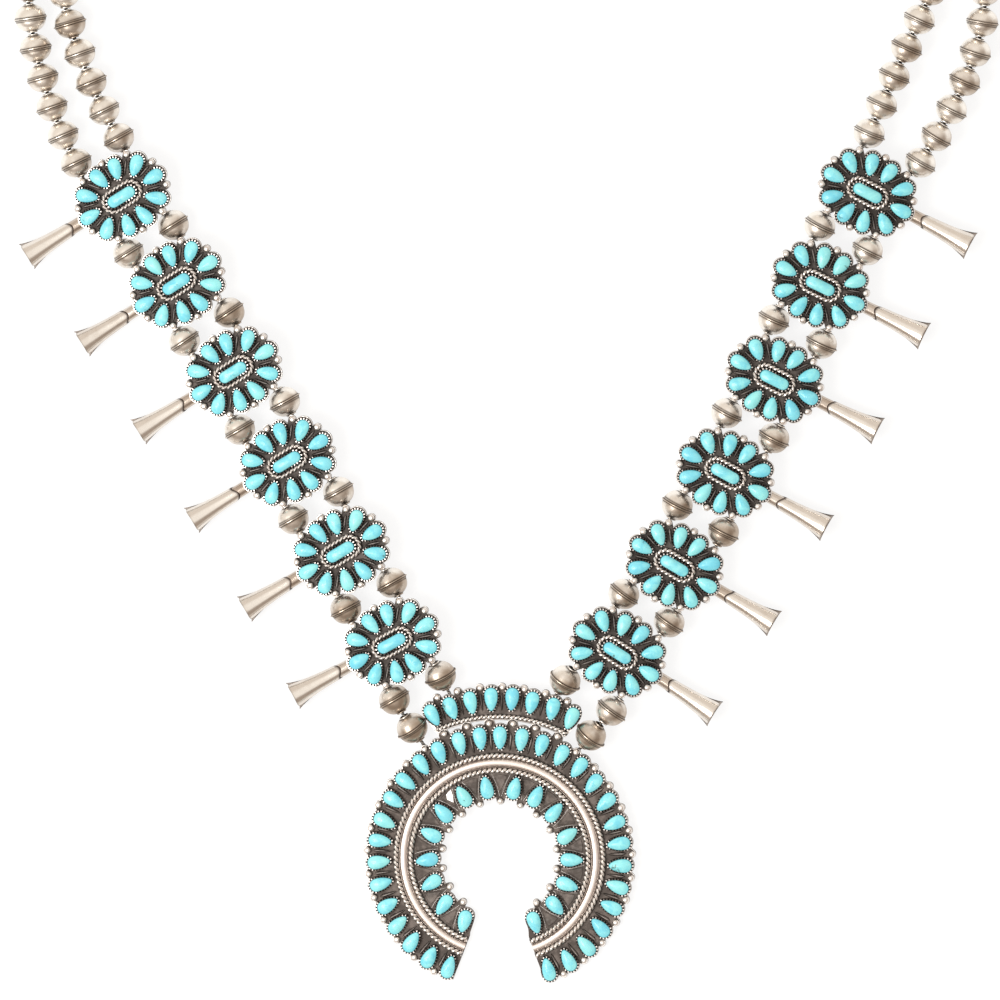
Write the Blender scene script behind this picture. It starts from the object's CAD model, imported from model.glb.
import math

import bpy
import numpy as np
from mathutils import Matrix, Vector


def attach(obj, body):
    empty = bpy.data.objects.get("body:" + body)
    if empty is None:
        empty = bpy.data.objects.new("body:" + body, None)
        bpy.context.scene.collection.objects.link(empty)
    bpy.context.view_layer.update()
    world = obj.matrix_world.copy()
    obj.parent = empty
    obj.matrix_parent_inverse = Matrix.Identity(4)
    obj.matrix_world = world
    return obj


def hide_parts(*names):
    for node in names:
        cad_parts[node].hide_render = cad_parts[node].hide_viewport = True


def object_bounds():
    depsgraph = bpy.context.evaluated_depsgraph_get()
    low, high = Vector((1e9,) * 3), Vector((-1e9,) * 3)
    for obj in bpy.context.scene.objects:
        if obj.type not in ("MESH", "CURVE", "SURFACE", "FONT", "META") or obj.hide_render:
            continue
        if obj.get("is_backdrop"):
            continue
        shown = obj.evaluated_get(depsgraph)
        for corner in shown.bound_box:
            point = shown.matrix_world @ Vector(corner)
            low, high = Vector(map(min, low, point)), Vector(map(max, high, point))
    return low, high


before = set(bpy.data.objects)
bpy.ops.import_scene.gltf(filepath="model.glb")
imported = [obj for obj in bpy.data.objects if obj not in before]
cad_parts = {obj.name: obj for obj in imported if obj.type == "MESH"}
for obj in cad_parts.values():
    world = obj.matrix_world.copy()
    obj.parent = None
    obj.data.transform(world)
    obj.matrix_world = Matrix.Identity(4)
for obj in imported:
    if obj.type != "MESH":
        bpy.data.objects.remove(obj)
CAD_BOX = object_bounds()

MM = 0.001
rng = np.random.default_rng(7)

# ------------------------------------------------------------------ sizes, in mm, as in the CAD part
BEAD_R = 4.35
AXIS_Z = BEAD_R
BEAD_LEN = 7.9
GAP = 13.9
LEAN = math.radians(4.0)
PLATE_T = 0.8
PEAR_L, PEAR_W = 6.4, 3.7
BAR_L, BAR_W = 8.6, 3.3
BEZEL_H, BEZEL_W = 1.5, 0.3
BALL_D = 1.8
REACH, MOUTH_D, STEM_D = 30.2, 7.2, 3.2
TUBE_R, TUBE_BORE, TUBE_HALF = 1.8, 0.78, 8.2
PLATE_Z = TUBE_R - 0.12
STEM_Z = PLATE_Z - STEM_D / 2 + 0.08
END_TILT = math.radians(10)

# places of the blossoms' middles and the directions of their trumpets
LEFT = [(-99.7, 50.5, 212.2), (-85.4, 27.9, 212.6), (-70.6, 4.9, 212.4),
        (-56.5, -18.4, 211.8), (-42.5, -41.8, 211.2), (-29.1, -65.6, 208.6)]
RIGHT = [(94.5, 52.4, -27.6), (82.2, 28.2, -26.2), (70.3, 3.7, -26.8),
         (57.5, -20.8, -28.6), (44.3, -44.9, -30.6), (29.4, -67.7, -32.6)]
# pear stones of one quarter of a blossom: angle, radius, turned by
QUARTER = [(0, 9.8, 0), (33, 9.15, 8), (70.5, 7.5, 6)]
CLUSTER = [(s, QUARTER[0][1], s) for s in (0, 180)] + [
    (s + m * QUARTER[q][0], QUARTER[q][1], s + m * (QUARTER[q][0] + QUARTER[q][2]))
    for q in (1, 2) for s in (0, 180) for m in (-1, 1)]
CLUSTER_BALLS = [(s + m * a, r) for a, r in ((16.8, 12.1), (51.5, 11.15), (90, 10.1))
                 for s in (0, 180) for m in (-1, 1) if a < 90 or m == 1]

ROUTES = {
    "lo": [(-8.4, 146.0), (-25, 146.4), (-45, 148.3), (-66, 150.3), (-84, 150.0), (-98.6, 145.8),
           (-110.4, 138.8), (-118.8, 128.8), (-123.4, 117.4), (-125, 105.6), (-124.0, 96.9), (-122.9, 89.1),
           (-121.0, 81.3), (-118.6, 73.8), (-115.7, 66.2), (-112.1, 59.0)],
    "li": [(-8.4, 136.6), (-25, 136.8), (-45, 138.2), (-64, 139.8), (-79.4, 140.2), (-92.6, 137.8),
           (-103.2, 131.8), (-110.8, 123.2), (-114.8, 113.2), (-115.6, 103.4), (-113.7, 95.1), (-111.2, 87.5),
           (-108.2, 80.0), (-104.9, 72.6), (-101.0, 65.6)],
    "ro": [(8.6, 146.0), (25, 146.4), (45, 148.2), (66, 150.1), (86, 150.3), (101, 146.6),
           (112.8, 139.4), (120.4, 128.6), (124.2, 116.8), (125, 105.6), (124.5, 97.0), (122.6, 89.1),
           (119.9, 81.5), (116.5, 74.2), (112.5, 67.1), (108.2, 60.0)],
    "ri": [(9.0, 136.6), (26, 136.8), (46, 138.2), (66, 139.8), (84.6, 140.4), (96, 138.5),
           (105.4, 133.2), (111.4, 124.8), (113.4, 114.8), (111.2, 105.0), (107.9, 97.4), (104.6, 90.0),
           (101.4, 82.5), (98.1, 75.1), (94.9, 67.6)]}
COUNT = {"lo": 25, "li": 22, "ro": 25, "ri": 22}
# last beads below the blossoms, and last the ring at the pendant's back
ENDS = {"lo": [(-28.9, -80.7), (-24.3, -88.1), (-19.7, -95.2)],
        "li": [(-16.9, -74.4), (-13.3, -81.9)],
        "ro": [(27.8, -83.2), (22.4, -89.7), (17.2, -96.1)],
        "ri": [(15.7, -75.4), (11.3, -82.4)]}

NAJA_AT = (-1.55, -122.1)
NAJA_TURN = math.radians(-0.6)
NAJA_TILT = math.radians(3.4)
NAJA_Z = 31.9 * math.sin(NAJA_TILT) - 0.2
NAJA_T = 0.9
SWEEP_A, SWEEP_B = -90 + 20.5, 270 - 20.5
OUTER_N, OUTER_STEP = 31, 10.37
INNER_N, INNER_STEP = 16, 20.05
CROWN_N, CROWN_STEP, CROWN_MID = 8, 7.43, 89.5


def swing(a):
    return 8 * math.sin(math.radians(2 * a))


# stones set by hand: how far each one is off its even place, from the right tip round to the left one
# columns: degrees along the row, mm outwards, degrees turned
OUTER_OFF = [(-0.3, -0.15, -2), (-0.3, 0.3, 2), (0.2, 0.2, 3), (0.8, 0, -3), (1.5, 0, 2), (1.3, -0.2, -4), (1.0, -0.2, 5), (1.2, -0.3, -2),
             (0.8, -0.2, 2), (1.2, -0.1, 7), (1.4, -0.1, 6), (1.2, 0, -5), (1.0, 0, -6), (0.9, 0.1, -3), (0.2, 0.1, -2), (0, 0, 1),
             (-1.0, 0.1, 2), (-1.4, 0.1, 3), (-1.3, 0.1, 0), (-1.5, 0, 3), (-0.8, -0.3, 11), (-0.6, -0.4, 3), (0.1, -0.3, -5), (-0.6, -0.3, 3),
             (-0.7, -0.2, 3), (-0.7, 0, 4), (-0.3, 0, 4), (-0.4, 0.1, 4), (-0.4, 0.2, 4), (0.2, 0.2, -2), (0, -0.15, 1)]
INNER_OFF = [(-0.4, 0.1, -4), (0.9, 0, 0), (0.3, 0, 4), (0.4, 0, 1), (0, 0, 10), (1.2, 0.1, 3), (0.2, 0.2, -4), (-1.6, 0, -6),
             (0.4, 0, 4), (0.1, -0.1, 7), (1.2, 0, 0), (1.1, 0, -3), (1.7, 0, 10), (0.4, 0, 8), (0.3, 0.2, 8), (1.0, 0, 8)]
CROWN_OFF = [(0, -0.1, 3), (0, 0.2, 5), (0.3, 0.35, 0), (0, 0.45, 0), (0, 0.35, -3), (0, 0, 2), (0, -0.35, 4), (-0.3, -0.35, 6)]


def by_hand(row, off):
    return [(a + da, r + dr, d + da + t) for (a, r, d), (da, dr, t) in zip(row, off)]


def between(row):
    return [(p[0] + q[0]) / 2 for p, q in zip(row[:-1], row[1:])]


OUTER_ROW = by_hand([(a, 31.9, a + swing(a)) for a in (90 + (k - (OUTER_N - 1) / 2) * OUTER_STEP for k in range(OUTER_N))], OUTER_OFF)
INNER_ROW = by_hand([(a, 18.9, a + 180 + swing(a)) for a in (90 + (k - (INNER_N - 1) / 2) * INNER_STEP for k in range(INNER_N))], INNER_OFF)
CROWN_ROW = by_hand([(a, 41.8, a) for a in (CROWN_MID + (k - (CROWN_N - 1) / 2) * CROWN_STEP for k in range(CROWN_N))], CROWN_OFF)
OUTER_BALLS = [(a, 35.6 if abs(a - 90) < 27 else 34.6) for a in between(OUTER_ROW)]
INNER_BALLS = [(a, 15.1) for a in between(INNER_ROW)]
CROWN_BALLS = [(a, 45.1) for a in between(CROWN_ROW)]


# ------------------------------------------------------------------ mesh building
def unit(v):
    v = np.asarray(v, float)
    return v / np.linalg.norm(v)


def polar(r, a):
    a = math.radians(a)
    return np.array([r * math.cos(a), r * math.sin(a)])


class Shape:
    """Collects closed shells; every vertex has a polish value from 0 (oxidised) to 1 (bright) and a tone."""

    def __init__(self):
        self.v, self.f, self.m, self.w, self.t, self.n = [], [], [], [], [], 0

    def add(self, V, F, polish=1.0, mat=0, tone=0.35, closed=True):
        V = np.asarray(V, float).reshape(-1, 3)
        F = [np.asarray(f, int).reshape(len(f), -1) for f in F if len(f)]
        if closed:
            vol = 0.0
            for f in F:
                for k in range(1, f.shape[1] - 1):
                    a, b, c = V[f[:, 0]], V[f[:, k]], V[f[:, k + 1]]
                    vol += np.einsum("ij,ij->i", a, np.cross(b, c)).sum()
            if vol < 0:
                F = [f[:, ::-1] for f in F]
        self.v.append(V)
        self.w.append(np.broadcast_to(np.asarray(polish, float), (len(V),)).astype(float))
        self.t.append(np.broadcast_to(np.asarray(tone, float), (len(V),)).astype(float))
        for f in F:
            self.f.append(f + self.n)
            self.m.append(np.full(len(f), mat, int))
        self.n += len(V)

    def moved(self, fn):
        self.v = [fn(v) for v in self.v]
        return self

    def build(self, name, mats, sharp=38.0):
        V = np.concatenate(self.v) * MM
        me = bpy.data.meshes.new(name)
        me.vertices.add(len(V))
        me.vertices.foreach_set("co", V.astype(np.float32).ravel())
        loops = np.concatenate([f.ravel() for f in self.f])
        total = np.concatenate([np.full(len(f), f.shape[1]) for f in self.f])
        start = np.concatenate([[0], np.cumsum(total)[:-1]])
        me.loops.add(len(loops))
        me.loops.foreach_set("vertex_index", loops.astype(np.int32))
        me.polygons.add(len(total))
        me.polygons.foreach_set("loop_start", start.astype(np.int32))
        me.polygons.foreach_set("material_index", np.concatenate(self.m).astype(np.int32))
        for mat in mats:
            me.materials.append(mat)
        me.update(calc_edges=True)
        me.validate()
        at = me.attributes.new("polish", "FLOAT", "POINT")
        at.data.foreach_set("value", np.concatenate(self.w).astype(np.float32))
        at = me.attributes.new("tone", "FLOAT", "POINT")
        at.data.foreach_set("value", np.concatenate(self.t).astype(np.float32))
        me.shade_smooth()
        me.set_sharp_from_angle(angle=math.radians(sharp))
        ob = bpy.data.objects.new(name, me)
        bpy.context.scene.collection.objects.link(ob)
        return ob


def grid(P, wrap_u=False, wrap_v=False):
    """Quads over a grid of points P[u, v]."""
    nu, nv = P.shape[:2]
    u = np.arange(nu if wrap_u else nu - 1)
    v = np.arange(nv if wrap_v else nv - 1)
    U, W = np.meshgrid(u, v, indexing="ij")
    U2, W2 = (U + 1) % nu, (W + 1) % nv
    return np.stack([U * nv + W, U2 * nv + W, U2 * nv + W2, U * nv + W2], -1).reshape(-1, 4)


def rings(shape, R, polish, mat=0, tone=0.5, cap=True):
    """A closed shell from a stack of closed rings R[k, i]; the first and last are capped with fans."""
    K, N = R.shape[:2]
    F = grid(R, wrap_v=True)
    V = R.reshape(-1, 3)
    W = np.broadcast_to(np.asarray(polish, float), (K, N)).reshape(-1)
    faces = [F]
    if cap:
        V = np.vstack([V, R[0].mean(0), R[-1].mean(0)])
        W = np.concatenate([W, [W[:N].mean(), W[-N:].mean()]])
        i = np.arange(N)
        j = (i + 1) % N
        faces.append(np.stack([j, i, np.full(N, K * N)], -1))
        faces.append(np.stack([(K - 1) * N + i, (K - 1) * N + j, np.full(N, K * N + 1)], -1))
    shape.add(V, faces, W, mat, tone)


def loop_rings(shape, R, polish, mat=0, tone=0.5):
    """A closed shell whose section is itself a closed loop: R[k, i] wraps both ways."""
    shape.add(R.reshape(-1, 3), [grid(R, True, True)], np.broadcast_to(np.asarray(polish, float), R.shape[:2]).reshape(-1), mat, tone)


def patch_shell(shape, A, B, polish_a, polish_b, mat=0, tone=0.5):
    """A closed sheet between two grids of the same size."""
    nu, nv = A.shape[:2]
    n = nu * nv
    fa = grid(A)
    fb = grid(B)[:, ::-1] + n
    ring = [(u, 0) for u in range(nu)] + [(nu - 1, v) for v in range(1, nv)] + \
           [(u, nv - 1) for u in range(nu - 2, -1, -1)] + [(0, v) for v in range(nv - 2, 0, -1)]
    idx = np.array([u * nv + v for u, v in ring])
    nxt = np.roll(idx, -1)
    side = np.stack([nxt, idx, idx + n, nxt + n], -1)
    W = np.concatenate([np.broadcast_to(polish_a, (nu, nv)).reshape(-1), np.broadcast_to(polish_b, (nu, nv)).reshape(-1)])
    shape.add(np.vstack([A.reshape(-1, 3), B.reshape(-1, 3)]), [fa, fb, side], W, mat, tone)


def frames(P, closed=False, up=(0, 0, 1)):
    """Tangent, side and up at each point of a path."""
    P = np.asarray(P, float)
    if closed:
        T = np.roll(P, -1, 0) - np.roll(P, 1, 0)
    else:
        T = np.gradient(P, axis=0)
    T /= np.linalg.norm(T, axis=1)[:, None]
    S = np.cross(T, np.array(up, float))
    S /= np.linalg.norm(S, axis=1)[:, None]
    return T, S, np.cross(S, T)


def tube(shape, P, r, sides=8, closed=False, polish=1.0, mat=0, tone=0.35, up=(0, 0, 1), flat=1.0):
    P = np.asarray(P, float)
    T, S, U = frames(P, closed, up)
    a = np.arange(sides) * 2 * math.pi / sides
    r = np.broadcast_to(np.asarray(r, float), (len(P),))
    R = P[:, None] + r[:, None, None] * (S[:, None] * np.cos(a)[None, :, None] + flat * U[:, None] * np.sin(a)[None, :, None])
    if callable(polish):
        W = polish(R)
    else:
        W = np.asarray(polish, float)
        if W.ndim == 1:
            W = W[:, None]
        W = np.broadcast_to(W, R.shape[:2])
    if closed:
        loop_rings(shape, R, W, mat, tone)
    else:
        rings(shape, R, W, mat, tone)


def rope(shape, P, r, lay, closed=False, strands=2, sides=6, per_turn=12, hi=1.0, lo=0.0, mat=0, up=(0, 0, 1), sign=1):
    """Wire twisted from strands round the path P: bright on the crowns, dark in the gaps."""
    P = np.asarray(P, float)
    Q = np.vstack([P, P[:1]]) if closed else P
    seg = np.linalg.norm(np.diff(Q, axis=0), axis=1)
    s = np.concatenate([[0], np.cumsum(seg)])
    L = s[-1]
    turns = max(1, round(L / lay)) if closed else L / lay
    n = max(8, int(round(turns * per_turn)))
    t = np.linspace(0, L, n, endpoint=not closed)
    C = np.stack([np.interp(t, s, Q[:, k]) for k in range(3)], -1)
    T, S, U = frames(C, closed, up)
    rs = r / (1 + 1 / math.sin(math.pi / strands)) * (1.08 if strands == 2 else 1.12)
    ro = r - rs
    for k in range(strands):
        ph = sign * (2 * math.pi * turns * t / L) + 2 * math.pi * k / strands
        O = S * np.cos(ph)[:, None] + U * np.sin(ph)[:, None]
        C2 = C + ro * O
        if closed:
            T2 = np.roll(C2, -1, 0) - np.roll(C2, 1, 0)
        else:
            T2 = np.gradient(C2, axis=0)
        T2 /= np.linalg.norm(T2, axis=1)[:, None]
        N2 = np.cross(T2, O)
        N2 /= np.linalg.norm(N2, axis=1)[:, None]
        O2 = np.cross(N2, T2)
        a = np.arange(sides) * 2 * math.pi / sides
        R = C2[:, None] + rs * (O2[:, None] * np.cos(a)[None, :, None] + N2[:, None] * np.sin(a)[None, :, None])
        out = R - C[:, None]
        dist = np.linalg.norm(out, axis=2) / r
        over = np.einsum("ijk,ik->ij", out, U) / r
        x = np.clip((dist - 0.50) / 0.30, 0, 1) * np.clip((over - 0.16) / 0.26, 0, 1)
        W = lo + (hi - lo) * x * x * (3 - 2 * x)
        (loop_rings if closed else rings)(shape, R, W, mat)


def ball(shape, c, r, nu=14, nv=9, squash=1.0, polish=0.9, base=0.1, mat=0, tone=0.5, up=(0, 0, 1)):
    t = np.linspace(0, math.pi, nv)[1:-1]
    a = np.arange(nu) * 2 * math.pi / nu
    R = np.stack([np.sin(t)[:, None] * np.cos(a), np.sin(t)[:, None] * np.sin(a), np.cos(t)[:, None] * squash * np.ones(nu)], -1) * r + np.asarray(c)
    R = R[::-1]
    K, N = R.shape[:2]
    V = np.vstack([R.reshape(-1, 3), np.asarray(c) + (0, 0, -r * squash), np.asarray(c) + (0, 0, r * squash)])
    i = np.arange(N)
    j = (i + 1) % N
    faces = [grid(R, wrap_v=True), np.stack([j, i, np.full(N, K * N)], -1),
             np.stack([(K - 1) * N + i, (K - 1) * N + j, np.full(N, K * N + 1)], -1)]
    h = np.clip((V[:, 2] - c[2]) / r * 0.7 + 0.75, 0, 1)
    shape.add(V, faces, base + (polish - base) * h, mat, tone)


# ------------------------------------------------------------------ outlines of stones
def pear_outline(l, w, n, tip=0.75):
    """n points and outward normals round a pear: point towards -x, round end towards +x."""
    l2, w2 = l - 2 * tip, w - 2 * tip
    x = l2 / 2 - w2 / 2
    t = x - 0.5
    r = ((l2 / 2 + t) ** 2 + w2 * w2 / 4) / w2
    cy = w2 / 2 - r
    a0 = math.atan2(0 - cy, -l2 / 2 - t)
    a1 = math.atan2(math.sqrt(max(r * r - (x - t) ** 2, 0)), x - t)
    A = np.linspace(a0, a1, 40)
    top = np.stack([t + r * np.cos(A), cy + r * np.sin(A)], -1)
    nt = np.stack([np.cos(A), np.sin(A)], -1)
    y1 = top[-1, 1]
    b = math.atan2(y1, 0.001)
    B = np.linspace(a1, 0, 24)[1:]
    rr = y1 / math.sin(a1) if math.sin(a1) > 1e-6 else w2 / 2
    endc = top[-1, 0] - rr * math.cos(a1)
    end = np.stack([endc + rr * np.cos(B), rr * np.sin(B)], -1)
    ne = np.stack([np.cos(B), np.sin(B)], -1)
    tipa = np.linspace(math.pi, a0, 8)[:-1]
    tp = np.tile([[-l2 / 2, 0.0]], (len(tipa), 1))
    ntp = np.stack([np.cos(tipa), np.sin(tipa)], -1)
    P = np.vstack([tp, top, end])
    N = np.vstack([ntp, nt, ne])
    P2 = np.vstack([P, (P * [1, -1])[::-1][1:-1]])
    N2 = np.vstack([N, (N * [1, -1])[::-1][1:-1]])
    O = P2 + tip * N2
    O2 = np.vstack([O, O[:1]])
    s = np.concatenate([[0], np.cumsum(np.linalg.norm(np.diff(O2, axis=0), axis=1))])
    P3, N3 = np.vstack([P2, P2[:1]]), np.vstack([N2, N2[:1]])
    q = np.linspace(0, s[-1], n, endpoint=False)
    # a tiny slope keeps the running length strictly rising where normals fan out at the tip
    s = s + np.arange(len(s)) * 1e-9
    Pn = np.stack([np.interp(q, s, P3[:, k]) for k in range(2)], -1)
    Nn = np.stack([np.interp(q, s, N3[:, k]) for k in range(2)], -1)
    Nn /= np.linalg.norm(Nn, axis=1)[:, None]
    return Pn + tip * Nn, Nn


def bar_outline(l, w, n):
    r = w / 2
    h = (l - w) / 2
    A = np.linspace(-math.pi / 2, math.pi / 2, 30)
    P = np.vstack([np.stack([h + r * np.cos(A), r * np.sin(A)], -1), np.stack([-h - r * np.cos(A), -r * np.sin(A)], -1)])
    N = np.vstack([np.stack([np.cos(A), np.sin(A)], -1), np.stack([-np.cos(A), -np.sin(A)], -1)])
    P2, N2 = np.vstack([P, P[:1]]), np.vstack([N, N[:1]])
    s = np.concatenate([[0], np.cumsum(np.linalg.norm(np.diff(P2, axis=0), axis=1))])
    q = np.linspace(0, s[-1], n, endpoint=False)
    Pn = np.stack([np.interp(q, s, P2[:, k]) for k in range(2)], -1)
    Nn = np.stack([np.interp(q, s, N2[:, k]) for k in range(2)], -1)
    Nn /= np.linalg.norm(Nn, axis=1)[:, None]
    return Pn, Nn


def placed(row, P, N=None):
    """Turns and moves an outline to its row: angle, radius, direction."""
    a = math.radians(row[2])
    R = np.array([[math.cos(a), math.sin(a)], [-math.sin(a), math.cos(a)]])
    c = polar(row[1], row[0])
    return P @ R + c, (None if N is None else N @ R)


def ring3(P, z):
    return np.concatenate([P, np.broadcast_to(np.asarray(z, float), (len(P),))[:, None]], 1)


def bezel(shape, P, N, z0, h, teeth, lean_in=0.20, wall=BEZEL_W, mat=0, gen=None):
    """A sawtooth bezel: P, N are the inner outline with 4 samples to a tooth; its teeth lean over the stone."""
    n = len(P)
    m = n // teeth
    k = np.arange(n) % m
    up = 1 - np.abs(k - m / 2) / (m / 2)
    rnd = gen.uniform(0.0, 1.0, teeth) if gen is not None else np.full(teeth, 0.5)
    top = h * (0.36 + 0.60 * np.clip(up * 1.2, 0, 1) * np.repeat(0.88 + 0.18 * rnd, m))
    lean = lean_in * up
    # the teeth at both ends of the stone catch more light than those along its sides
    c = P.mean(0)
    e = (P - c) @ unit(P[0] - c) / np.abs((P - c) @ unit(P[0] - c)).max()
    wide = np.clip((-e - 0.25) / 0.35, 0, 1)
    point = np.clip((e - 0.62) / 0.25, 0, 1)
    lit = 0.12 + 1.0 * wide + 0.8 * point
    tip = -0.30 + (np.repeat(0.45 + 0.75 * rnd, m) * lit + 0.40) * np.clip(up * (1.4 + 1.0 * wide) - 0.15, 0, 1)
    R = np.stack([
        ring3(P + (wall + 0.02) * N, z0 - 0.02), ring3(P + (wall + 0.02) * N, z0 + h * 0.30), ring3(P + (wall - 0.01) * N, z0 + top - 0.08),
        ring3(P + (wall - 0.07) * N, z0 + top), ring3(P - N * (lean * 0.75)[:, None], z0 + top + 0.01),
        ring3(P - N * (lean * 0.85)[:, None], z0 + top - 0.12), ring3(P, z0 - 0.02)])
    W = np.stack([np.full(n, 0.0), np.full(n, 0.30), tip * 0.5, tip, tip, tip * 0.4, np.full(n, -0.3)])
    loop_rings(shape, R, W, mat)


def cabochon(shape, P, N, z0, h, edge, gen, inset=0.04, mat=0):
    """A domed stone: outline P, base z0, straight to the edge height, then a soft dome up to h."""
    c = P.mean(0)
    base = P - N * inset
    fs = [1.0, 0.955, 0.90, 0.78, 0.60, 0.38, 0.16]
    # a slightly uneven dome, tipped a little to one side
    tip = gen.uniform(-0.05, 0.05, 2)
    R = [ring3(base, z0)]
    W = [np.full(len(P), 0.0)]
    for i, f in enumerate(fs):
        p = c + (base - c) * f
        z = z0 + edge + (h - edge) * (1 - f ** 2.2) ** 0.80 + (p - c) @ tip * 0.35 * (1 - f)
        R.append(ring3(p, z))
        W.append(np.full(len(P), [0.0, 0.02, 0.62, 1.0, 1.0, 1.0, 1.0][i]))
    rings(shape, np.array(R), np.array(W), mat, tone=float(gen.uniform(0, 1)))


def ray_outline(shapes, angles, far=True):
    """Where rays from the origin leave (or first meet) a set of closed outlines."""
    A, B = [], []
    for s in shapes:
        A.append(s)
        B.append(np.roll(s, -1, 0))
    A, B = np.vstack(A), np.vstack(B)
    out = []
    for a in angles:
        d = np.array([math.cos(a), math.sin(a)])
        nrm = np.array([-d[1], d[0]])
        da, db = A @ nrm, B @ nrm
        hit = (da > 0) != (db > 0)
        t = da[hit] / (da[hit] - db[hit])
        X = (A[hit] + (B[hit] - A[hit]) * t[:, None]) @ d
        X = X[X > 0]
        out.append((X.max() if far else X.min()) if len(X) else np.nan)
    return np.array(out)


def disc(c, r, n=28):
    a = np.arange(n) * 2 * math.pi / n
    return np.asarray(c) + r * np.stack([np.cos(a), np.sin(a)], -1)


# ------------------------------------------------------------------ beads
def bead_profile(h, ear=4.35):
    """Outer profile [radius, height, polish] of a bead with half length h, from the middle seam to the collar."""
    top = [(ear, 0.00, 1.15), (ear - 0.01, 0.11, 1.10), (4.22, 0.19, -0.05), (4.12, 0.32, 0.30), (4.05, 0.50, 0.62), (4.01, 0.72, 0.80)]
    zc = h - 0.50
    for f in (0.34, 0.48, 0.60, 0.70, 0.79, 0.87, 0.94, 1.0):
        z = zc * f
        top.append((4.02 * math.sqrt(max(0.0, 1 - (z / (h - 0.12)) ** 2.25)), z, 0.88))
    top[-1] = (top[-1][0], zc, 0.55)
    top += [(1.44, zc + 0.10, 0.10), (1.36, zc + 0.20, 0.6), (1.37, h - 0.10, 1.0), (1.22, h, 0.4), (0.84, h, -0.1)]
    return top


def bead(shape, centre, axis, h, gen, segs=36, mat=0, dark=0.0):
    """tone holds the brown patina: more beside the seam and on the sides, and different from bead to bead."""
    inside = abs(centre[0]) < 120 and centre[1] < 140
    top = bead_profile(h, 4.48 if inside else 4.35)
    prof = np.array([(r, -z, w) for r, z, w in top[::-1]] + top[1:])
    line = gen.choice([-1, 1])
    # a fine line beside the seam on one dome
    i = np.argmin(np.abs(prof[:, 1] - line * 0.72))
    prof[i, 0] -= 0.035
    prof[i, 2] = 0.25
    a = np.arange(segs) * 2 * math.pi / segs
    R = np.stack([prof[:, 0][:, None] * np.cos(a), prof[:, 0][:, None] * np.sin(a), prof[:, 1][:, None] * np.ones(segs)], -1)
    # shallow dents and slightly uneven domes
    mask = np.clip((prof[:, 0] - 1.6) / 1.2, 0, 1)[:, None]
    d = np.zeros(R.shape[:2])
    for _ in range(5):
        k = gen.integers(1, 5)
        m = gen.uniform(0.4, 1.3)
        d += gen.uniform(-0.026, 0.020) * np.cos(k * a[None] + gen.uniform(0, 6.28)) * np.cos(m * prof[:, 1][:, None] + gen.uniform(0, 6.28))
    seam = np.clip(np.abs(prof[:, 1]) / 0.5, 0.35, 1)[:, None]
    f = 1 + (d * mask * seam - 0.012) / 4
    R[..., 0] *= f
    R[..., 1] *= f
    z = unit(axis)
    z = unit(z + gen.uniform(-0.018, 0.018, 3))
    x = unit(np.cross([0.3, 0.2, 1.0] if abs(z[2]) < 0.9 else [1, 0, 0], z))
    y = np.cross(z, x)
    M = np.stack([x, y, z], 0)
    V = R @ M
    W = np.broadcast_to(prof[:, 2][:, None], R.shape[:2]).copy()
    # the sides and the underside are less rubbed than the top
    n = V / np.maximum(np.linalg.norm(V, axis=2), 1e-6)[..., None]
    W -= 0.55 * np.clip(0.30 - n[..., 2], 0, 0.5)
    tone = gen.uniform(0.0, 0.42) + dark + 0.50 * np.exp(-(np.abs(prof[:, 1]) / 1.25) ** 2)[:, None] + 0.55 * np.clip(n @ np.array([0.55, -0.60, 0.0]), -0.5, 1) + 0.25 * np.clip(0.35 - n[..., 2], 0, 1)
    V = V + np.asarray(centre)
    V[..., 2] = np.maximum(V[..., 2], 0.004)
    loop_rings(shape, V, W, mat, tone=np.clip(tone, 0, 1.2).reshape(-1))


def spline(a, b, c, d, t):
    return 0.5 * (2 * b + (c - a) * t + (2 * a - 5 * b + 4 * c - d) * t * t + (3 * b - a - 3 * c + d) * t ** 3)


def smooth(p, n=8):
    p = [np.array(q, float) for q in p]
    out = []
    for i in range(len(p) - 1):
        a = 2 * p[0] - p[1] if i == 0 else p[i - 1]
        d = 2 * p[i + 1] - p[i] if i == len(p) - 2 else p[i + 2]
        for k in range(n + 1 if i == len(p) - 2 else n):
            out.append(spline(a, p[i], p[i + 1], d, k / n))
    return np.array(out)


def necks(route, n):
    p = smooth(route)
    c = np.concatenate([[0], np.cumsum(np.linalg.norm(np.diff(p, axis=0), axis=1))])
    q = c[-1] / (n - 1)
    at = [np.array([np.interp(q * (k + 0.5), c, p[:, 0]), np.interp(q * (k + 0.5), c, p[:, 1])]) for k in range(n - 1)]
    a = p[0] - unit(p[1] - p[0]) * q / 2
    b = p[-1] + unit(p[-1] - p[-2]) * q / 2
    return np.array([[x[0], x[1], AXIS_Z] for x in [a] + at + [b]])


def blossom_fn(b):
    """Local blossom coordinates (x out along the trumpet, z up from the strands) to the row frame."""
    d = math.radians(b[2])
    cd, sd = math.cos(d), math.sin(d)

    def fn(V):
        V = np.asarray(V, float)
        x = V[..., 0] * math.cos(LEAN) + V[..., 2] * math.sin(LEAN)
        z = V[..., 2] * math.cos(LEAN) - V[..., 0] * math.sin(LEAN)
        y = V[..., 1]
        return np.stack([b[0] + x * cd - y * sd, b[1] + x * sd + y * cd, AXIS_Z + z], -1)
    return fn


def tube_end(b, side, low, right):
    return blossom_fn(b)(np.array([side * GAP / 2, (1 if low != right else -1) * TUBE_HALF, 0.0]))


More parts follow.
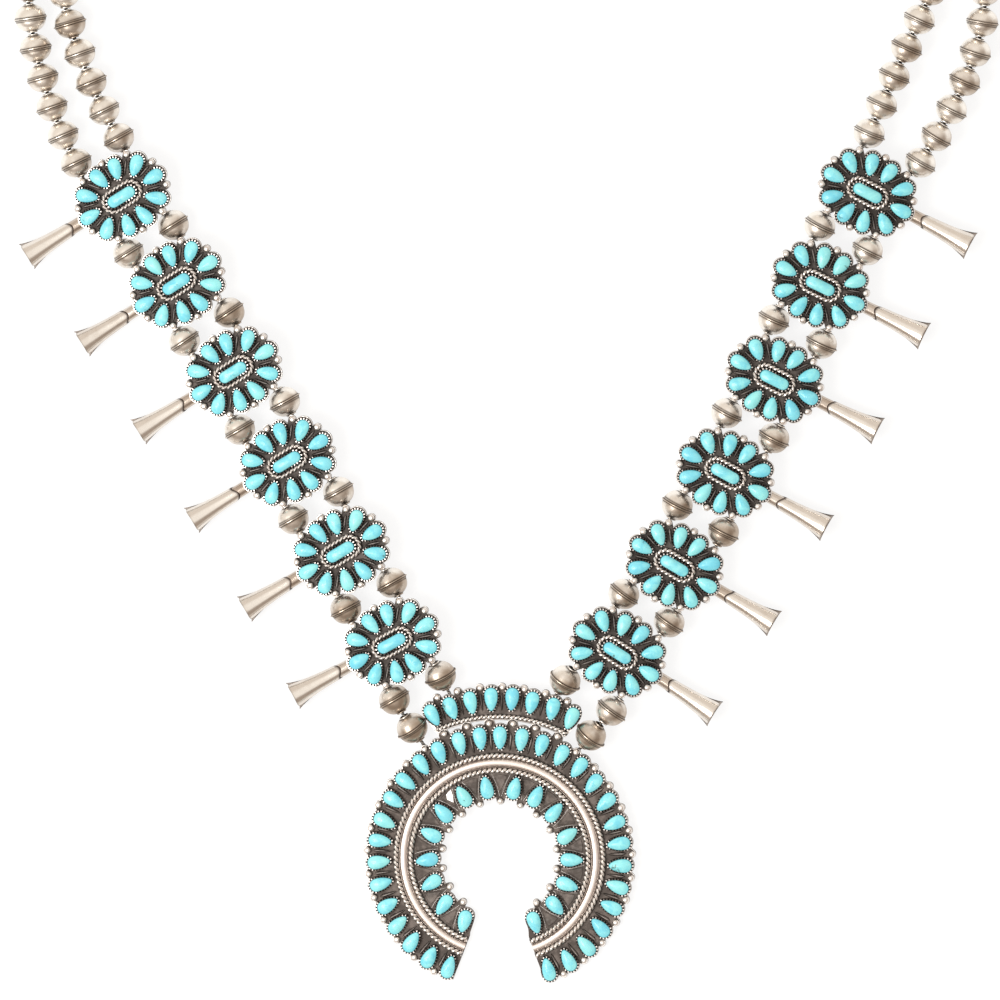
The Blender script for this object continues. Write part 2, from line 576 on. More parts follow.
def loose_place(bl, ends, k, side, right):
    if k < 5:
        a, b = tube_end(bl[k], side, True, right), tube_end(bl[k + 1], side, False, right)
        m = (a + b) / 2
        return np.array([m[0], m[1], AXIS_Z]), np.array([b[0] - a[0], b[1] - a[1], 0.0])
    if k == 5 and len(ends) == 3:
        a = tube_end(bl[5], side, True, right)
        return np.array([ends[0][0], ends[0][1], AXIS_Z]), np.array([ends[1][0] - a[0], ends[1][1] - a[1], 0.0])
    return dip(ends[-2], ends[-1])


def dip(p, q):
    d = unit([q[0] - p[0], q[1] - p[1], 0])
    return (np.array([p[0], p[1], AXIS_Z * math.cos(END_TILT) + 0.03]),
            np.array([d[0] * math.cos(END_TILT), d[1] * math.cos(END_TILT), -math.sin(END_TILT)]))


def under(y):
    return NAJA_Z + (y - NAJA_AT[1]) * math.tan(NAJA_TILT)


def ring_r(y):
    return (under(y) - 0.1 + 0.12) / 2


def ring_at(ends):
    e = ends[-1]
    return np.array([e[0], e[1], under(e[1]) + 0.12 - ring_r(e[1])])


def cable_path(first, bl, ends, side, right):
    pts = [first]
    for k in range(6):
        for low in (False, True):
            pts.append(tube_end(bl[k], side, low, right))
    if len(ends) == 3:
        pts.append(np.array([ends[0][0], ends[0][1], AXIS_Z]))
    q = dip(ends[-2], ends[-1])
    low = np.array([0, 0, -0.4])
    a = q[0] - q[1] * (BEAD_LEN / 2 + 0.1) + low
    b = q[0] + q[1] * (BEAD_LEN / 2 + 0.1) + low
    r = ring_at(ends)
    e = r + unit(r - b) * 1.9
    pts += [a, b, np.array([e[0], e[1], max(e[2], 1.13)])]
    return np.array(pts)


def resample(P, step):
    s = np.concatenate([[0], np.cumsum(np.linalg.norm(np.diff(P, axis=0), axis=1))])
    t = np.linspace(0, s[-1], max(2, int(s[-1] / step)))
    return np.stack([np.interp(t, s, P[:, k]) for k in range(3)], -1)


# ------------------------------------------------------------------ materials
def nodes_of(name):
    m = bpy.data.materials.new(name)
    m.use_nodes = True
    nt = m.node_tree
    nt.nodes.clear()
    out = nt.nodes.new("ShaderNodeOutputMaterial")
    bsdf = nt.nodes.new("ShaderNodeBsdfPrincipled")
    nt.links.new(bsdf.outputs[0], out.inputs[0])
    return m, nt, bsdf


def N_(nt, kind, **kw):
    n = nt.nodes.new(kind)
    for k, v in kw.items():
        setattr(n, k, v)
    return n


def noise(nt, vec, scale, detail=3, rough=0.5, dist=0.0):
    n = N_(nt, "ShaderNodeTexNoise")
    n.inputs["Scale"].default_value = scale
    n.inputs["Detail"].default_value = detail
    n.inputs["Roughness"].default_value = rough
    n.inputs["Distortion"].default_value = dist
    nt.links.new(vec, n.inputs["Vector"])
    return n.outputs[0]


def math_(nt, op, a, b=None, clamp=False):
    n = N_(nt, "ShaderNodeMath", operation=op, use_clamp=clamp)
    for i, x in enumerate((a, b)):
        if x is None:
            continue
        if isinstance(x, (int, float)):
            n.inputs[i].default_value = x
        else:
            nt.links.new(x, n.inputs[i])
    return n.outputs[0]


def remap(nt, x, a, b, c=0.0, d=1.0, smooth_=True):
    n = N_(nt, "ShaderNodeMapRange")
    n.interpolation_type = "SMOOTHSTEP" if smooth_ else "LINEAR"
    nt.links.new(x, n.inputs["Value"])
    for k, v in (("From Min", a), ("From Max", b), ("To Min", c), ("To Max", d)):
        n.inputs[k].default_value = v
    return n.outputs[0]


def mixc(nt, fac, a, b, mode="MIX"):
    n = N_(nt, "ShaderNodeMix", data_type="RGBA", blend_type=mode)
    for sock, x in ((n.inputs[0], fac), (n.inputs[6], a), (n.inputs[7], b)):
        if isinstance(x, (int, float)):
            sock.default_value = x
        elif isinstance(x, tuple):
            sock.default_value = (*x, 1.0)
        else:
            nt.links.new(x, sock)
    return n.outputs[2]


def bump(nt, h, strength, dist, normal=None):
    n = N_(nt, "ShaderNodeBump")
    n.inputs["Strength"].default_value = strength
    n.inputs["Distance"].default_value = dist
    nt.links.new(h, n.inputs["Height"])
    if normal is not None:
        nt.links.new(normal, n.inputs["Normal"])
    return n.outputs[0]


def attr(nt, name):
    n = N_(nt, "ShaderNodeAttribute", attribute_name=name)
    return n.outputs["Fac"]


def silver(name, bright, warm, dark, rough=0.2, bump_s=0.2, spread=0.45):
    """polish: 0 oxidised, 1 rubbed bright. tone: how much brown patina lies on the bright metal."""
    m, nt, b = nodes_of(name)
    tc = N_(nt, "ShaderNodeTexCoord").outputs["Object"]
    pol, tone = attr(nt, "polish"), attr(nt, "tone")
    n1 = noise(nt, tc, 330, 4, 0.6)          # 3 mm clouds
    n2 = noise(nt, tc, 2600, 3, 0.6)         # fine grain
    n3 = noise(nt, tc, 900, 3, 0.65, 0.6)    # 1 mm spots
    x = math_(nt, "ADD", pol, math_(nt, "MULTIPLY", math_(nt, "SUBTRACT", n3, 0.5), 0.35))
    x = math_(nt, "ADD", x, math_(nt, "MULTIPLY", math_(nt, "SUBTRACT", n2, 0.5), 0.12))
    fac = remap(nt, x, 0.05, 0.85)
    t = math_(nt, "ADD", tone, math_(nt, "MULTIPLY", math_(nt, "SUBTRACT", n1, 0.5), 2 * spread))
    t = math_(nt, "ADD", t, math_(nt, "MULTIPLY", math_(nt, "SUBTRACT", n3, 0.5), spread))
    tar = remap(nt, t, 0.15, 1.05)
    col = mixc(nt, tar, bright, warm)
    dk = mixc(nt, remap(nt, n1, 0.42, 0.66), dark, tuple(1.9 * c for c in dark))
    col = mixc(nt, fac, dk, col)
    nt.links.new(col, b.inputs["Base Color"])
    b.inputs["Metallic"].default_value = 1.0
    r = math_(nt, "ADD", remap(nt, fac, 0.0, 1.0, 0.55, rough, False), math_(nt, "MULTIPLY", n2, 0.08))
    nt.links.new(r, b.inputs["Roughness"])
    h = math_(nt, "ADD", math_(nt, "MULTIPLY", n1, 0.7), math_(nt, "MULTIPLY", n2, 0.22))
    nt.links.new(bump(nt, h, bump_s, 0.00012), b.inputs["Normal"])
    return m


def turquoise_material():
    m, nt, b = nodes_of("turquoise")
    tc = N_(nt, "ShaderNodeTexCoord").outputs["Object"]
    pol, tone = attr(nt, "polish"), attr(nt, "tone")
    n1 = noise(nt, tc, 420, 4, 0.6, 0.4)
    n2 = noise(nt, tc, 1600, 3, 0.6)
    n3 = noise(nt, tc, 230, 2, 0.5, 0.8)
    base = mixc(nt, remap(nt, n1, 0.30, 0.68), (0.180, 0.710, 0.860), (0.340, 0.900, 0.930))
    base = mixc(nt, remap(nt, tone, 0.72, 1.0, 0.0, 0.5), base, (0.370, 0.890, 0.840))       # a few greener
    base = mixc(nt, remap(nt, tone, 0.0, 0.22, 0.45, 0.0), base, (0.150, 0.640, 0.860))      # a few bluer
    base = mixc(nt, remap(nt, n2, 0.58, 0.78, 0.0, 0.45), base, (0.62, 0.95, 0.96))          # pale flecks
    # brown matrix patches, rare
    mat_ = math_(nt, "MULTIPLY", remap(nt, n3, 0.70, 0.76), remap(nt, n2, 0.42, 0.55))
    base = mixc(nt, math_(nt, "MULTIPLY", mat_, 0.85), base, (0.06, 0.12, 0.10))
    base = mixc(nt, remap(nt, pol, 0.30, 0.85), (0.080, 0.470, 0.570), base)                  # deeper towards the rim
    base = mixc(nt, remap(nt, pol, 0.0, 0.40), (0.008, 0.040, 0.045), base)                   # dark edge under the bezel
    nt.links.new(base, b.inputs["Base Color"])
    b.inputs["Roughness"].default_value = 0.38
    b.inputs["Specular IOR Level"].default_value = 0.4
    b.inputs["Coat Weight"].default_value = 0.6
    b.inputs["Coat Roughness"].default_value = 0.13
    nt.links.new(bump(nt, n1, 0.15, 0.0001), b.inputs["Normal"])
    return m


def cable_material():
    m, nt, b = nodes_of("cable")
    tc = N_(nt, "ShaderNodeTexCoord").outputs["Object"]
    pol = attr(nt, "polish")
    n2 = noise(nt, tc, 1800, 3, 0.6)
    col = mixc(nt, remap(nt, math_(nt, "ADD", pol, math_(nt, "MULTIPLY", math_(nt, "SUBTRACT", n2, 0.5), 0.4)), 0.2, 0.9), (0.03, 0.027, 0.025), (0.36, 0.33, 0.30))
    nt.links.new(col, b.inputs["Base Color"])
    b.inputs["Metallic"].default_value = 1.0
    b.inputs["Roughness"].default_value = 0.4
    nt.links.new(bump(nt, n2, 0.2, 0.00005), b.inputs["Normal"])
    return m


M_BLOSSOM = silver("blossom_silver", (0.94, 0.91, 0.875), (0.71, 0.62, 0.57), (0.069, 0.060, 0.055), rough=0.28)
M_TRUMPET = silver("trumpet_silver", (0.84, 0.78, 0.71), (0.52, 0.42, 0.34), (0.060, 0.042, 0.034), rough=0.17, bump_s=0.10, spread=0.30)
M_BEAD = silver("bead_silver", (0.96, 0.905, 0.83), (0.47, 0.38, 0.30), (0.060, 0.044, 0.034), rough=0.29, bump_s=0.16, spread=0.40)
M_NAJA = silver("pendant_silver", (0.95, 0.915, 0.875), (0.74, 0.655, 0.60), (0.104, 0.088, 0.079), rough=0.32)
M_STONE = turquoise_material()
M_CABLE = cable_material()


# ------------------------------------------------------------------ blossom
def blossom_plate(s):
    ang = np.arange(280) * 2 * math.pi / 280
    outl = []
    for row in CLUSTER:
        P, N = pear_outline(PEAR_L, PEAR_W, 96)
        outl.append(placed(row, P + (BEZEL_W + 0.34) * N)[0])
    for a, r in CLUSTER_BALLS:
        outl.append(disc(polar(r - 0.05, a), BALL_D / 2 + 0.22))
    outl.append(np.array([(11.9 * math.cos(t), 9.5 * math.sin(t)) for t in np.arange(60) * 2 * math.pi / 60]))
    R = ray_outline(outl, ang)
    u = np.stack([np.cos(ang), np.sin(ang)], -1)
    z0, z1 = PLATE_Z, PLATE_Z + PLATE_T

    def ring(r, z):
        return ring3(u * np.asarray(r)[:, None] if np.ndim(r) else u * r, z)
    stack = [ring(R - 0.12, z0), ring(R, z0 + 0.12), ring(R, z1 - 0.14), ring(R - 0.08, z1 - 0.02),
             ring(R - 0.20, z1), ring(R - 0.30, z1 - 0.05), ring(R * 0.86, z1 - 0.05), ring(R * 0.5, z1 - 0.05)]
    pol = [0.1, 0.0, 0.30, 1.0, 0.9, 0.10, 0.0, 0.0]
    rings(s, np.array(stack), np.array(pol)[:, None])


def radial_bar(s, a, r0, r1, w0, w1, z, h, pol=0.42):
    """A low tapered bar soldered between two stones, with a lighter crest."""
    n = 7
    t = np.linspace(0, 1, n)
    C = np.stack([polar(r0 + (r1 - r0) * k, a) for k in t])
    d = polar(1, a)
    q = np.array([-d[1], d[0]])
    w = (w0 + (w1 - w0) * t) / 2
    w = w * np.sqrt(np.clip(1 - (2 * t - 1) ** 8, 0.05, 1))
    sec = [(-1, 0.0, 0.05), (-0.8, 0.55, 0.25), (-0.3, 0.9, pol), (0, 1.0, pol + 0.16), (0.3, 0.9, pol), (0.8, 0.55, 0.25), (1, 0.0, 0.05)]
    R = np.array([[np.append(C[i] + q * w[i] * x, z + h * y) for x, y, _ in sec] + [np.append(C[i], z - 0.02)] for i in range(n)])
    W = np.array([[p for _, _, p in sec] + [0.0]] * n)
    rings(s, R, W)


def trumpet_axis():
    start = GAP / 2 + TUBE_R - 0.25
    rise = math.atan2((MOUTH_D / 2 + 0.06 - AXIS_Z) / math.cos(LEAN) + REACH * math.tan(LEAN) - STEM_Z, REACH - start)
    return start, rise


def trumpet(s, gen, mat=1):
    """Stem, sleeve and two petals; x runs along the trumpet from the blossom's middle."""
    start, rise = trumpet_axis()
    o = np.array([start, 0, STEM_Z])
    ax = np.array([math.cos(rise), 0, math.sin(rise)])
    up = np.array([-math.sin(rise), 0, math.cos(rise)])
    side = np.array([0.0, 1.0, 0.0])
    end = (REACH - start) / math.cos(rise)

    def at(r, th, x):
        """x: distance from the blossom's middle, th: 0 at the side, 90 degrees on top."""
        r, th, x = np.broadcast_arrays(r, th, x)
        return o + (x - start)[..., None] * ax + (r * np.cos(th))[..., None] * side + (r * np.sin(th))[..., None] * up
    xm = start + end

    def flare(x):
        return np.interp(x, [14, 16, 18, 20, 22, 24, 26, 27.5, 29, 30, xm], [1.86, 1.90, 1.97, 2.07, 2.20, 2.38, 2.63, 2.88, 3.20, 3.46, 3.56])
    th = np.arange(36) * 2 * math.pi / 36

    def under_side(a):
        """0 on top, 1 underneath, where the metal isn't rubbed."""
        return np.clip(0.22 - np.sin(a), 0, 0.5) / 0.5
    # stem, solid, running into the sleeve
    xs = np.array([start, start + 0.1, 10, 12, 14, 16, 18.2])
    rs = np.array([1.5, 1.6, 1.6, 1.66, 1.70, 1.74, 1.72])
    rings(s, np.array([at(r, th, x) for r, x in zip(rs, xs)]), np.array([0.3, 0.5, 0.6, 0.75, 0.85, 0.80, 0.0])[:, None] - 0.5 * under_side(th), mat, tone=float(gen.uniform(0.55, 0.85)))
    # sleeve with a slanting, arched lip
    ph = gen.uniform(-0.5, 0.5)
    lip = 15.2 + 0.75 * (1 - np.cos(2 * (th - math.pi / 2 + ph))) + 0.25 * np.sin(th + ph)
    slit = xm - 6.0
    V = np.linspace(0, 1, 11)
    wall = 0.30
    outer = np.array([at(flare(lip + (slit - lip) * v) - (0.10 if k == 0 else 0.0), th, lip + (slit - lip) * v) for k, v in enumerate(V)])
    inner = np.array([at(np.maximum(flare(lip + (slit - lip) * v) - wall, 1.5), th, lip + (slit - lip) * v) for v in V])
    R = np.concatenate([outer, inner[::-1]])
    W = np.concatenate([np.array([-0.1, 0.7] + [0.95] * 9), np.array([0.40] * 11)])[:, None] - 0.55 * under_side(th)[None]
    base = gen.uniform(0.12, 0.40)
    tn = base + 0.45 * np.clip(0.75 - np.sin(th), 0, 1)
    loop_rings(s, R.transpose(1, 0, 2), W.T, mat, tone=np.repeat(tn, R.shape[0]))
    # petals
    for sign, e0, e1, tips, back in ((1, 89.0, 75.0, 0.0, 0.55), (-1, 90.0, 86.0, 0.34, 0.30)):
        nv, nu = 10, 25
        v = np.linspace(0, 1, nv)[:, None]
        t = np.linspace(-1, 1, nu)[None]
        x_end = xm - back * (1 - t ** 2) - (0.9 * np.abs(t) ** 7 if sign > 0 else 0.0)
        x = slit - 0.04 + (x_end - slit + 0.04) * v
        e = np.radians(e0 + (e1 - e0) * v ** 1.6)
        T = sign * math.pi / 2 + t * e
        r = flare(x) + tips * v ** 2.2 * np.abs(t) ** 3 + (0.0 if sign > 0 else -0.03)
        r = r - (0.10 * v ** 2 * np.abs(t) ** 4 if sign > 0 else 0)
        A = at(r, T, x)
        B = at(r - wall * (1 - 0.35 * v), T, x - 0.02)
        wa = 0.97 - 0.8 * np.clip(np.abs(t) - 0.90, 0, 1) / 0.10 * np.clip(v * 2, 0, 1) - 0.55 * under_side(T) - 0.5 * np.clip(v - 0.93, 0, 1) / 0.07
        tn = base + 0.45 * np.clip(0.75 - np.sin(T), 0, 1) + 0 * v
        patch_shell(s, A, B, wa, 0.46 + 0 * A[..., 0], mat, tone=np.concatenate([tn.reshape(-1), tn.reshape(-1)]))


def blossom_shape(gen):
    s = Shape()
    blossom_plate(s)
    z = PLATE_Z + PLATE_T
    for row in CLUSTER:
        r = (row[0], row[1] + gen.uniform(-0.06, 0.06), row[2] + gen.uniform(-2.2, 2.2))
        P, N = pear_outline(PEAR_L - 0.05 + gen.uniform(-0.08, 0.06), PEAR_W + 0.1 + gen.uniform(-0.14, 0.04), 66)
        P, N = placed(r, P, N)
        yield_rows.append((P, N))
        bezel(s, P, N, z - 0.05, BEZEL_H + 0.05, 22, gen=gen)
    P, N = bar_outline(BAR_L, BAR_W, 72)
    bar = placed((0, 0, 0), P, N)
    bar_P = bar[0] @ np.array([[1.0, 0], [0, 1.0]])
    yield_rows.append((bar_P, bar[1]))
    bezel(s, bar_P, bar[1], z - 0.05, BEZEL_H + 0.38, 24, gen=gen)
    # oval of twisted wire round the bar
    P, N = bar_outline(BAR_L + 2 * BEZEL_W + 1.45, BAR_W + 2 * BEZEL_W + 1.45, 120)
    rope(s, ring3(P, z + 0.50), 0.68, 2.5, closed=True, per_turn=12, sides=7, hi=1.2, lo=-0.2)
    # bars between the stones
    for a, r in CLUSTER_BALLS:
        inner_r = 6.5 if abs(math.sin(math.radians(a))) < 0.6 else (5.4 if abs(math.sin(math.radians(a))) < 0.95 else 4.6)
        radial_bar(s, a, inner_r, r - 1.35, 0.70, 1.0, z - 0.06, 0.42, pol=0.14)
    # balls on the rim
    for a, r in CLUSTER_BALLS:
        c = polar(r - 0.05 + gen.uniform(-0.08, 0.08), a + gen.uniform(-0.6, 0.6))
        ball(s, (c[0], c[1], z + BALL_D / 2 - 0.42), BALL_D / 2 * gen.uniform(0.97, 1.06), 14, 10, squash=0.72, polish=1.1, base=-0.1, tone=0.45)
    # tubes on the back, which carry the strands
    th = np.arange(24) * 2 * math.pi / 24
    for sd in (-1, 1):
        e = TUBE_HALF - 0.4
        prof = [(TUBE_BORE, -e + 0.1), (TUBE_R - 0.12, -e), (TUBE_R, -e + 0.15), (TUBE_R - 0.05, -4), (TUBE_R, 0), (TUBE_R - 0.05, 4),
                (TUBE_R, e - 0.15), (TUBE_R - 0.12, e), (TUBE_BORE, e - 0.1)]
        R = np.array([np.stack([sd * GAP / 2 + r * np.cos(th), np.full(24, y), r * np.sin(th)], -1) for r, y in prof])
        W = np.array([0.0, 0.4, 0.8, 0.6, 0.55, 0.6, 0.8, 0.4, 0.0])[:, None]
        loop_rings(s, R.transpose(1, 0, 2), np.broadcast_to(W, R.shape[:2]).T)
    trumpet(s, gen)
    return s


yield_rows = []
pieces = {}


def finish_piece(ob, node):
    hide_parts(node)
    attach(ob, "root")
    pieces[node] = ob


for tag, table in (("l", LEFT), ("r", RIGHT)):
    for k, b in enumerate(table):
        gen = np.random.default_rng(100 + k + (50 if tag == "r" else 0))
        yield_rows.clear()
        s = blossom_shape(gen)
        fn = blossom_fn(b)
        s.moved(fn)
        finish_piece(s.build(f"rosette_{tag}{k + 1}", [M_BLOSSOM, M_TRUMPET]), f"blossom_{tag}{k + 1}")
        st = Shape()
        z = PLATE_Z + PLATE_T
        for i, (P, N) in enumerate(yield_rows):
            if i < 10:
                cabochon(st, P[::2], N[::2], z + 0.06, BEZEL_H + 0.50 + gen.uniform(-0.1, 0.08), BEZEL_H * 0.62, gen)
            else:
                cabochon(st, P[::2], N[::2], z + 0.06, BEZEL_H + 0.95, BEZEL_H * 0.85, gen)
        st.moved(fn)
        finish_piece(st.build(f"turquoise_{tag}{k + 1}", [M_STONE], 60), f"stones_{tag}{k + 1}")

# ------------------------------------------------------------------ loose beads and strands
for key in ("lo", "li", "ro", "ri"):
    right = key[0] == "r"
    bl = RIGHT if right else LEFT
    side = 1 if key[1] == "o" else -1
    ends = ENDS[key]
    gen = np.random.default_rng({"lo": 11, "li": 12, "ro": 13, "ri": 14}[key])
    for k in range(7 if key[1] == "o" else 6):
        c, d = loose_place(bl, ends, k, side, right)
        s = Shape()
        bead(s, c, d, BEAD_LEN / 2, gen, segs=40, dark=0.10 + 0.05 * k)
        finish_piece(s.build(f"round_bead_{key}{k + 1}", [M_BEAD], 50), f"bead_{key}{k + 1}")
    m = necks(ROUTES[key], COUNT[key])
    n = COUNT[key]
    s = Shape()
    for k in range(n):
        a, b = m[k], m[k + 1]
        bead(s, (a + b) / 2, b - a, np.linalg.norm(b - a) / 2 - 0.2, gen, dark=gen.uniform(-0.1, 0.12))
    # cable: from the clasp to the first bead, between the beads, then on through the blossoms
    x0 = np.array([(1 if right else -1) * 1.3, ROUTES[key][0][1], AXIS_Z])
    for k in range(1, n):
        a = m[k] + unit(m[k - 1] - m[k]) * 0.6
        b = m[k] + unit(m[k + 1] - m[k]) * 0.6
        tube(s, [a, b], 0.5, 6, polish=0.1, mat=1)
    rope(s, resample(np.array([x0, m[0] + unit(m[1] - m[0]) * 0.6]), 0.4), 0.5, 2.2, strands=3, sides=5, per_turn=6, hi=0.9, lo=0.1, mat=1)
    path = cable_path(m[n] + unit(m[n - 1] - m[n]) * 0.6, bl, ends, side, right)
    rope(s, resample(path, 0.4), 0.5, 2.6, strands=3, sides=5, per_turn=6, hi=0.9, lo=0.1, mat=1)
    ball(s, x0, 0.95, 12, 8, polish=0.6, mat=1)
    ball(s, path[-1], 1.05, 12, 8, polish=0.6, mat=1)
    finish_piece(s.build(f"upper_beads_{key}", [M_BEAD, M_CABLE], 50), f"strand_{key}")


# ------------------------------------------------------------------ pendant
def naja_fn(V):
    V = np.asarray(V, float)
    c, s = math.cos(NAJA_TURN), math.sin(NAJA_TURN)
    x = V[..., 0] * c - V[..., 1] * s
    y = V[..., 0] * s + V[..., 1] * c
    z = V[..., 2]
    ct, st = math.cos(NAJA_TILT), math.sin(NAJA_TILT)
    out = np.stack([NAJA_AT[0] + x, NAJA_AT[1] + y * ct - z * st, NAJA_Z + y * st + z * ct], -1)
    out[..., 2] = np.maximum(out[..., 2], 0.0)
    return out


def arc(r, a, b, n, z=0.0):
    t = np.radians(np.linspace(a, b, n))
    return np.stack([r * np.cos(t), r * np.sin(t), np.full(n, z)], -1)


def arc_strip(s, prof, a, b, n, polish, mat=0, tone=0.35):
    """A moulding along an arc: prof is a closed section of (radius, height), polish one value a point."""
    t = np.radians(np.linspace(a, b, n))
    prof = np.asarray(prof, float)
    R = np.stack([prof[None, :, 0] * np.cos(t)[:, None], prof[None, :, 0] * np.sin(t)[:, None], prof[None, :, 1] * np.ones((n, 1))], -1)
    rings(s, R, np.broadcast_to(np.asarray(polish, float)[None], R.shape[:2]), mat, tone)


def v_line(s, P, r=0.14, polish=0.75):
    tube(s, P, r, 6, polish=np.array([polish] * len(P)))


nj = Shape()
gen = np.random.default_rng(31)
NP_L, IP_L, NP_W = 6.6, 6.5, 3.82
naja_rows = {"outer": [], "inner": [], "crown": []}
for name, rows, l in (("outer", OUTER_ROW, NP_L), ("inner", INNER_ROW, IP_L), ("crown", CROWN_ROW, NP_L)):
    for row in rows:
        P, N = pear_outline(l + gen.uniform(-0.15, 0.05), NP_W + gen.uniform(-0.15, 0.04), 63)
        P, N = placed((row[0], row[1] + gen.uniform(-0.06, 0.06), row[2] + gen.uniform(-2, 2)), P, N)
        naja_rows[name].append((P, N))

# crescent plate
M_ANG = 560
deg = np.linspace(SWEEP_A, SWEEP_B, M_ANG)
rad = np.radians(deg)
u = np.stack([np.cos(rad), np.sin(rad)], -1)
out_shapes = [P + N * (BEZEL_W + 0.16) for P, N in naja_rows["outer"]] + [disc(polar(r - 0.1, a), 1.2 if r < 35 else 1.45) for a, r in OUTER_BALLS]
in_shapes = [P + N * (BEZEL_W + 0.16) for P, N in naja_rows["inner"]] + [disc(polar(r + 0.05, a), 1.05) for a, r in INNER_BALLS]
Ro = np.fmax(np.nan_to_num(ray_outline(out_shapes, rad), nan=0.0), 34.7)
from_end = np.minimum(deg - SWEEP_A, SWEEP_B - deg)
Ri = np.fmin(np.nan_to_num(ray_outline(in_shapes, rad, far=False), nan=99.0), 15.75 + np.clip(5.4 - from_end, 0, 5.4) * 1.15)


def nring(r, z):
    r = np.broadcast_to(np.asarray(r, float), (M_ANG,))
    return ring3(u * r[:, None], z)


T = NAJA_T
cols = [(Ri + 0.12, 0.0, 0.3), (Ri, 0.12, 0.0), (Ri, T - 0.14, 0.0), (Ri + 0.08, T - 0.02, 0.60), (Ri + 0.20, T, 0.50), (Ri + 0.30, T - 0.04, 0.05),
        (np.fmax(Ri + 0.5, 17.5), T - 0.04, 0.0), (22.4, T - 0.04, 0.0), (25.2, T - 0.04, 0.1), (27.8, T - 0.04, 0.0),
        (33.0, T - 0.04, 0.0), (Ro - 0.30, T - 0.04, 0.05), (Ro - 0.20, T, 0.75), (Ro - 0.08, T - 0.02, 0.85), (Ro, T - 0.14, 0.15), (Ro, 0.12, 0.0), (Ro - 0.12, 0.0, 0.3)]
R = np.array([nring(r, z) for r, z, _ in cols]).transpose(1, 0, 2)
rings(nj, R, np.broadcast_to(np.array([w for _, _, w in cols])[None], R.shape[:2]))

# crown plate
cdeg = np.linspace(CROWN_MID - 29.0, CROWN_MID + 29.0, 180)
crad = np.radians(cdeg)
cu = np.stack([np.cos(crad), np.sin(crad)], -1)
c_shapes = [P + N * (BEZEL_W + 0.16) for P, N in naja_rows["crown"]] + [disc(polar(r - 0.1, a), 1.15) for a, r in CROWN_BALLS]
Rc = np.fmax(np.nan_to_num(ray_outline(c_shapes, crad), nan=0.0), 44.3)
edge = np.clip((29.0 - np.abs(cdeg - CROWN_MID)) / 1.8, 0, 1)
Rin = 36.35 + 0 * crad
inner_rad = np.radians(CROWN_MID + (cdeg - CROWN_MID) * (27.4 / 29.0))
iu = np.stack([np.cos(inner_rad), np.sin(inner_rad)], -1)
Rc = 36.35 + (Rc - 36.35) * (0.78 + 0.22 * np.sqrt(edge))


def crow(f, dz, z):
    """f: 0 at the inner edge, 1 at the outer; dz: offset in mm inward from that edge."""
    r = Rin + (Rc - Rin) * f + dz
    d = iu + (cu - iu) * f
    d = d / np.linalg.norm(d, axis=1)[:, None]
    return ring3(d * r[:, None], z)


ccols = [(0, 0.12, 0.0, 0.3), (0, 0, 0.12, 0.3), (0, 0, T - 0.14, 0.5), (0, 0.12, T, 0.9), (0, 0.3, T - 0.04, 0.0), (0.5, 0, T - 0.04, 0.0),
         (1, -0.30, T - 0.04, 0.05), (1, -0.20, T, 0.6), (1, -0.08, T - 0.02, 0.75), (1, 0, T - 0.14, 0.1), (1, 0, 0.12, 0.0), (1, -0.12, 0.0, 0.3)]
R = np.array([crow(f, d, z) for f, d, z, _ in ccols]).transpose(1, 0, 2)
Wc = np.broadcast_to(np.array([w for *_, w in ccols])[None], R.shape[:2]).copy()
Wc[:3] = np.maximum(Wc[:3], 0.9)
Wc[-3:] = np.maximum(Wc[-3:], 0.9)
rings(nj, R, Wc)

# bezels
for name in ("outer", "inner", "crown"):
    for P, N in naja_rows[name]:
        bezel(nj, P, N, T - 0.05, BEZEL_H + 0.05, 21, gen=gen)
# ridge between two flat strips, and the twisted wires
A0, A1 = SWEEP_A + 0.35, SWEEP_B - 0.35
th = np.linspace(0, math.pi, 11)
prof = [(25.2 + 1.0 * math.copysign(abs(math.cos(t)) ** 0.8, math.cos(t)), T - 0.05 + 0.95 * max(math.sin(t), 0.0) ** 0.62) for t in th]
arc_strip(nj, prof, A0, A1, 240, [0.1, 0.6] + [1.0] * 7 + [0.6, 0.1], tone=0.95)
for rr, wd in ((26.36, 0.30), (24.02, 0.30)):
    arc_strip(nj, [(rr - wd / 2, T - 0.05), (rr - wd / 2 + 0.05, T + 0.30), (rr, T + 0.38), (rr + wd / 2 - 0.05, T + 0.30), (rr + wd / 2, T - 0.05)], A0, A1, 240, [0.0, 0.8, 1.0, 0.8, 0.0], tone=0.7)
rope(nj, arc(27.15, A0, A1, 400, T + 0.50), 0.74, 2.62, per_turn=12, sides=7, hi=1.35, lo=-0.25)
rope(nj, arc(23.2, A0, A1, 400, T + 0.50), 0.74, 2.62, per_turn=12, sides=7, hi=1.35, lo=-0.25)
rope(nj, arc(37.4, CROWN_MID - 27.3, CROWN_MID + 27.3, 160, T + 0.46), 0.66, 2.4, per_turn=12, sides=7, hi=1.25, lo=-0.25)
# balls on the rims
for rows, zz, dd in ((OUTER_BALLS, T + 0.40, 1.85), (INNER_BALLS, T + 0.40, 1.75), (CROWN_BALLS, T + 0.40, 1.85)):
    for a, r in rows:
        c = polar(r + gen.uniform(-0.08, 0.08), a + gen.uniform(-0.3, 0.3))
        ball(nj, (c[0], c[1], zz), dd / 2 * gen.uniform(0.94, 1.04), 12, 9, squash=0.72, polish=1.1, base=-0.1, tone=0.45)
# low solder pads that join the crown to the crescent
for a, r in OUTER_BALLS:
    if abs(a - 90) < 27:
        c = polar(35.85, a)
        ball(nj, (c[0], c[1], 0.62), 1.0, 12, 8, squash=0.6, polish=0.5, base=0.2)
